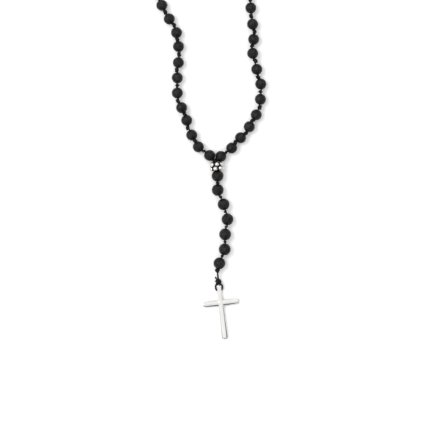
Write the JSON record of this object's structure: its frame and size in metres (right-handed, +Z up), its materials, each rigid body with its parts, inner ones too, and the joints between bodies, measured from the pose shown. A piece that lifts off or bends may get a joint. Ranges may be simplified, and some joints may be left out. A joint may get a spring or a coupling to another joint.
{
  "type": "rosary",
  "caption": "Rosary of matt porous stone beads knotted on black cord, with a granulated silver spacer, a beaded pendant and a small polished cross.",
  "frame": {"origin": "centre of the outline's bounding box, on the table", "axes": "+Y from the cross towards the nape of the neck loop, +Z up from the table, +X to the right seen from above"},
  "size_m": [0.1008, 0.4336, 0.0103],
  "materials": {
    "stone": "matt, porous",
    "cord": "matt, waxed",
    "spacer_metal": "bright granules on an oxidised ground",
    "cross_metal": "polished"
  },
  "bodies": {
    "yoke": {"yoke_cord": "cord"},
    "left_strand_1": {"left_cord_1": "cord"},
    "left_strand_2": {"left_cord_2": "cord"},
    "left_strand_3": {"left_cord_3": "cord", "left_beads_13_to_18": "stone"},
    "left_strand_4": {"left_cord_4": "cord", "left_beads_19_to_24": "stone"},
    "left_strand_5": {"left_cord_5": "cord", "left_beads_25_to_29": "stone"},
    "right_strand_1": {"right_cord_1": "cord"},
    "right_strand_2": {"right_cord_2": "cord"},
    "right_strand_3": {"right_cord_3": "cord", "right_beads_13_to_18": "stone"},
    "right_strand_4": {"right_cord_4": "cord", "right_beads_19_to_24": "stone"},
    "right_strand_5": {"right_cord_5": "cord", "right_beads_25_to_29": "stone"},
    "nape_strand": {"nape_cord": "cord"},
    "pendant_link_2": {"pendant_cord_2": "cord"},
    "pendant_link_3": {"pendant_cord_3": "cord"},
    "pendant_link_4": {"pendant_cord_4": "cord"},
    "pendant_link_5": {"pendant_cord_5": "cord"},
    "pendant_link_6": {"pendant_cord_6": "cord"},
    "pendant_link_7": {"pendant_cord_7": "cord"},
    "bail": {"bail_cord": "cord"},
    "cross": {"cross": "cross_metal"},
    "spacer": {"spacer_bead": "spacer_metal"},
    "pendant_bead_1": {"pendant_bead_1": "stone"},
    "pendant_bead_2": {"pendant_bead_2": "stone"},
    "pendant_bead_3": {"pendant_bead_3": "stone"},
    "pendant_bead_4": {"pendant_bead_4": "stone"},
    "pendant_bead_5": {"pendant_bead_5": "stone"},
    "pendant_bead_6": {"pendant_bead_6": "stone"},
    "pendant_bead_7": {"pendant_bead_7": "stone"},
    "left_bead_01": {"left_bead_01": "stone"},
    "left_bead_02": {"left_bead_02": "stone"},
    "left_bead_03": {"left_bead_03": "stone"},
    "left_bead_04": {"left_bead_04": "stone"},
    "left_bead_05": {"left_bead_05": "stone"},
    "left_bead_06": {"left_bead_06": "stone"},
    "left_bead_07": {"left_bead_07": "stone"},
    "left_bead_08": {"left_bead_08": "stone"},
    "left_bead_09": {"left_bead_09": "stone"},
    "left_bead_10": {"left_bead_10": "stone"},
    "left_bead_11": {"left_bead_11": "stone"},
    "left_bead_12": {"left_bead_12": "stone"},
    "right_bead_01": {"right_bead_01": "stone"},
    "right_bead_02": {"right_bead_02": "stone"},
    "right_bead_03": {"right_bead_03": "stone"},
    "right_bead_04": {"right_bead_04": "stone"},
    "right_bead_05": {"right_bead_05": "stone"},
    "right_bead_06": {"right_bead_06": "stone"},
    "right_bead_07": {"right_bead_07": "stone"},
    "right_bead_08": {"right_bead_08": "stone"},
    "right_bead_09": {"right_bead_09": "stone"},
    "right_bead_10": {"right_bead_10": "stone"},
    "right_bead_11": {"right_bead_11": "stone"},
    "right_bead_12": {"right_bead_12": "stone"},
    "nape_bead": {"nape_bead": "stone"}
  },
  "joints": [
    {"name": "loop_spread", "type": "hinge", "parent": "yoke", "child": "left_strand_1", "pos_m": [0.00443, -0.07774, 0.0039], "axis": [0, 0, 1], "range_deg": [-10, 40]},
    {"name": "right_bend_1", "type": "hinge", "parent": "yoke", "child": "right_strand_1", "pos_m": [0.02088, -0.07849, 0.0039], "axis": [0, 0, 1], "range_deg": [-40, 10]},
    {"name": "left_bend_2", "type": "hinge", "parent": "left_strand_1", "child": "left_strand_2", "pos_m": [-0.01532, -0.02909, 0.0039], "axis": [0, 0, 1], "range_deg": [-20, 5]},
    {"name": "left_bend_3", "type": "hinge", "parent": "left_strand_2", "child": "left_strand_3", "pos_m": [-0.02942, 0.03511, 0.0039], "axis": [0, 0, 1], "range_deg": [-20, 5]},
    {"name": "left_bend_4", "type": "hinge", "parent": "left_strand_3", "child": "left_strand_4", "pos_m": [-0.03862, 0.10091, 0.0039], "axis": [0, 0, 1], "range_deg": [-20, 5]},
    {"name": "left_bend_5", "type": "hinge", "parent": "left_strand_4", "child": "left_strand_5", "pos_m": [-0.04637, 0.16856, 0.0039], "axis": [0, 0, 1], "range_deg": [-20, 5]},
    {"name": "right_bend_2", "type": "hinge", "parent": "right_strand_1", "child": "right_strand_2", "pos_m": [0.04633, -0.03374, 0.0039], "axis": [0, 0, 1], "range_deg": [-5, 20]},
    {"name": "right_bend_3", "type": "hinge", "parent": "right_strand_2", "child": "right_strand_3", "pos_m": [0.03858, 0.03391, 0.0039], "axis": [0, 0, 1], "range_deg": [-5, 20]},
    {"name": "right_bend_4", "type": "hinge", "parent": "right_strand_3", "child": "right_strand_4", "pos_m": [0.02938, 0.09971, 0.0039], "axis": [0, 0, 1], "range_deg": [-5, 20]},
    {"name": "right_bend_5", "type": "hinge", "parent": "right_strand_4", "child": "right_strand_5", "pos_m": [0.01528, 0.16391, 0.0039], "axis": [0, 0, 1], "range_deg": [-5, 20]},
    {"name": "nape_bend", "type": "hinge", "parent": "left_strand_5", "child": "nape_strand", "pos_m": [-0.02092, 0.21331, 0.0039], "axis": [0, 0, 1], "range_deg": [-10, 40]},
    {"name": "pendant_bend_1", "type": "hinge", "parent": "yoke", "child": "pendant_link_2", "pos_m": [0.01453, -0.10129, 0.0041], "axis": [0, 0, 1], "range_deg": [-25, 25]},
    {"name": "pendant_bend_2", "type": "hinge", "parent": "pendant_link_2", "child": "pendant_link_3", "pos_m": [0.01673, -0.11179, 0.0041], "axis": [0, 0, -1], "range_deg": [-25, 25]},
    {"name": "pendant_bend_3", "type": "hinge", "parent": "pendant_link_3", "child": "pendant_link_4", "pos_m": [0.02033, -0.12264, 0.0041], "axis": [0, 0, 1], "range_deg": [-25, 25]},
    {"name": "pendant_bend_4", "type": "hinge", "parent": "pendant_link_4", "child": "pendant_link_5", "pos_m": [0.02093, -0.13374, 0.0041], "axis": [0, 0, -1], "range_deg": [-25, 25]},
    {"name": "pendant_bend_5", "type": "hinge", "parent": "pendant_link_5", "child": "pendant_link_6", "pos_m": [0.01993, -0.14484, 0.0041], "axis": [0, 0, 1], "range_deg": [-25, 25]},
    {"name": "pendant_bend_6", "type": "hinge", "parent": "pendant_link_6", "child": "pendant_link_7", "pos_m": [0.01783, -0.15554, 0.0041], "axis": [0, 0, -1], "range_deg": [-25, 25]},
    {"name": "bail_bend", "type": "hinge", "parent": "pendant_link_7", "child": "bail", "pos_m": [0.01438, -0.16589, 0.0041], "axis": [0, 0, 1], "range_deg": [-25, 25]},
    {"name": "cross_swing", "type": "hinge", "parent": "bail", "child": "cross", "pos_m": [0.01581, -0.18055, 0.0015], "axis": [-0.9936, -0.1132, 0], "range_deg": [0, 120]},
    {"name": "spacer_spin", "type": "hinge", "parent": "yoke", "child": "spacer", "pos_m": [0.01358, -0.08919, 0.0052], "axis": [-0.117, 0.9931, 0], "continuous": true},
    {"name": "pendant_bead_1_spin", "type": "hinge", "parent": "yoke", "child": "pendant_bead_1", "pos_m": [0.01448, -0.09609, 0.0041], "axis": [0.0696, -0.9976, 0], "continuous": true},
    {"name": "pendant_bead_2_spin", "type": "hinge", "parent": "pendant_link_2", "child": "pendant_bead_2", "pos_m": [0.01458, -0.10649, 0.0041], "axis": [0.1962, -0.9806, 0], "continuous": true},
    {"name": "pendant_bead_3_spin", "type": "hinge", "parent": "pendant_link_3", "child": "pendant_bead_3", "pos_m": [0.01888, -0.11709, 0.0041], "axis": [0.315, -0.9491, 0], "continuous": true},
    {"name": "pendant_bead_4_spin", "type": "hinge", "parent": "pendant_link_4", "child": "pendant_bead_4", "pos_m": [0.02178, -0.12819, 0.0041], "axis": [0.0518, -0.9987, 0], "continuous": true},
    {"name": "pendant_bead_5_spin", "type": "hinge", "parent": "pendant_link_5", "child": "pendant_bead_5", "pos_m": [0.02008, -0.13929, 0.0041], "axis": [-0.0894, -0.996, 0], "continuous": true},
    {"name": "pendant_bead_6_spin", "type": "hinge", "parent": "pendant_link_6", "child": "pendant_bead_6", "pos_m": [0.01978, -0.15039, 0.0041], "axis": [-0.1933, -0.9811, 0], "continuous": true},
    {"name": "pendant_bead_7_spin", "type": "hinge", "parent": "pendant_link_7", "child": "pendant_bead_7", "pos_m": [0.01588, -0.16069, 0.0041], "axis": [-0.3159, -0.9488, 0], "continuous": true},
    {"name": "left_bead_01_spin", "type": "hinge", "parent": "yoke", "child": "left_bead_01", "pos_m": [0.00858, -0.08089, 0.0039], "axis": [-0.731, 0.6823, 0], "continuous": true},
    {"name": "left_bead_02_spin", "type": "hinge", "parent": "left_strand_1", "child": "left_bead_02", "pos_m": [0.00028, -0.07459, 0.0039], "axis": [-0.6555, 0.7552, 0], "continuous": true},
    {"name": "left_bead_03_spin", "type": "hinge", "parent": "left_strand_1", "child": "left_bead_03", "pos_m": [-0.00462, -0.06579, 0.0039], "axis": [-0.4056, 0.914, 0], "continuous": true},
    {"name": "left_bead_04_spin", "type": "hinge", "parent": "left_strand_1", "child": "left_bead_04", "pos_m": [-0.00832, -0.05489, 0.0039], "axis": [-0.35, 0.9367, 0], "continuous": true},
    {"name": "left_bead_05_spin", "type": "hinge", "parent": "left_strand_1", "child": "left_bead_05", "pos_m": [-0.01212, -0.04559, 0.0039], "axis": [-0.3304, 0.9438, 0], "continuous": true},
    {"name": "left_bead_06_spin", "type": "hinge", "parent": "left_strand_1", "child": "left_bead_06", "pos_m": [-0.01532, -0.03469, 0.0039], "axis": [-0.1423, 0.9898, 0], "continuous": true},
    {"name": "left_bead_07_spin", "type": "hinge", "parent": "left_strand_2", "child": "left_bead_07", "pos_m": [-0.01532, -0.02349, 0.0039], "axis": [0.0353, 0.9994, 0], "continuous": true},
    {"name": "left_bead_08_spin", "type": "hinge", "parent": "left_strand_2", "child": "left_bead_08", "pos_m": [-0.01452, -0.01219, 0.0039], "axis": [0.0395, 0.9992, 0], "continuous": true},
    {"name": "left_bead_09_spin", "type": "hinge", "parent": "left_strand_2", "child": "left_bead_09", "pos_m": [-0.01442, -0.00029, 0.0039], "axis": [-0.0681, 0.9977, 0], "continuous": true},
    {"name": "left_bead_10_spin", "type": "hinge", "parent": "left_strand_2", "child": "left_bead_10", "pos_m": [-0.01592, 0.01001, 0.0039], "axis": [-0.3088, 0.9511, 0], "continuous": true},
    {"name": "left_bead_11_spin", "type": "hinge", "parent": "left_strand_2", "child": "left_bead_11", "pos_m": [-0.02122, 0.02011, 0.0039], "axis": [-0.4715, 0.8819, 0], "continuous": true},
    {"name": "left_bead_12_spin", "type": "hinge", "parent": "left_strand_2", "child": "left_bead_12", "pos_m": [-0.02672, 0.03021, 0.0039], "axis": [-0.4804, 0.877, 0], "continuous": true},
    {"name": "right_bead_01_spin", "type": "hinge", "parent": "yoke", "child": "right_bead_01", "pos_m": [0.01688, -0.08159, 0.0039], "axis": [0.7104, 0.7038, 0], "continuous": true},
    {"name": "right_bead_02_spin", "type": "hinge", "parent": "right_strand_1", "child": "right_bead_02", "pos_m": [0.02488, -0.07539, 0.0039], "axis": [0.7266, 0.6871, 0], "continuous": true},
    {"name": "right_bead_03_spin", "type": "hinge", "parent": "right_strand_1", "child": "right_bead_03", "pos_m": [0.03148, -0.06779, 0.0039], "axis": [0.6409, 0.7676, 0], "continuous": true},
    {"name": "right_bead_04_spin", "type": "hinge", "parent": "right_strand_1", "child": "right_bead_04", "pos_m": [0.03798, -0.05969, 0.0039], "axis": [0.5632, 0.8263, 0], "continuous": true},
    {"name": "right_bead_05_spin", "type": "hinge", "parent": "right_strand_1", "child": "right_bead_05", "pos_m": [0.04308, -0.05079, 0.0039], "axis": [0.3829, 0.9238, 0], "continuous": true},
    {"name": "right_bead_06_spin", "type": "hinge", "parent": "right_strand_1", "child": "right_bead_06", "pos_m": [0.04618, -0.03939, 0.0039], "axis": [0.1455, 0.9894, 0], "continuous": true},
    {"name": "right_bead_07_spin", "type": "hinge", "parent": "right_strand_2", "child": "right_bead_07", "pos_m": [0.04648, -0.02809, 0.0039], "axis": [-0.1207, 0.9927, 0], "continuous": true},
    {"name": "right_bead_08_spin", "type": "hinge", "parent": "right_strand_2", "child": "right_bead_08", "pos_m": [0.04348, -0.01719, 0.0039], "axis": [-0.2559, 0.9667, 0], "continuous": true},
    {"name": "right_bead_09_spin", "type": "hinge", "parent": "right_strand_2", "child": "right_bead_09", "pos_m": [0.04048, -0.00539, 0.0039], "axis": [-0.0908, 0.9959, 0], "continuous": true},
    {"name": "right_bead_10_spin", "type": "hinge", "parent": "right_strand_2", "child": "right_bead_10", "pos_m": [0.04118, 0.00501, 0.0039], "axis": [-0.0021, 1, 0], "continuous": true},
    {"name": "right_bead_11_spin", "type": "hinge", "parent": "right_strand_2", "child": "right_bead_11", "pos_m": [0.04038, 0.01621, 0.0039], "axis": [-0.0895, 0.996, 0], "continuous": true},
    {"name": "right_bead_12_spin", "type": "hinge", "parent": "right_strand_2", "child": "right_bead_12", "pos_m": [0.03908, 0.02821, 0.0039], "axis": [-0.0975, 0.9952, 0], "continuous": true},
    {"name": "nape_bead_spin", "type": "hinge", "parent": "nape_strand", "child": "nape_bead", "pos_m": [-0.01269, 0.21293, 0.0039], "axis": [0.999, -0.0455, 0], "continuous": true}
  ],
  "couplings": [
    {"joint": "right_bend_1", "follows": "loop_spread", "ratio": -1},
    {"joint": "left_bend_2", "follows": "loop_spread", "ratio": -0.5},
    {"joint": "left_bend_3", "follows": "loop_spread", "ratio": -0.5},
    {"joint": "left_bend_4", "follows": "loop_spread", "ratio": -0.5},
    {"joint": "left_bend_5", "follows": "loop_spread", "ratio": -0.5},
    {"joint": "right_bend_2", "follows": "loop_spread", "ratio": 0.5},
    {"joint": "right_bend_3", "follows": "loop_spread", "ratio": 0.5},
    {"joint": "right_bend_4", "follows": "loop_spread", "ratio": 0.5},
    {"joint": "right_bend_5", "follows": "loop_spread", "ratio": 0.5},
    {"joint": "nape_bend", "follows": "loop_spread", "ratio": 1}
  ]
}
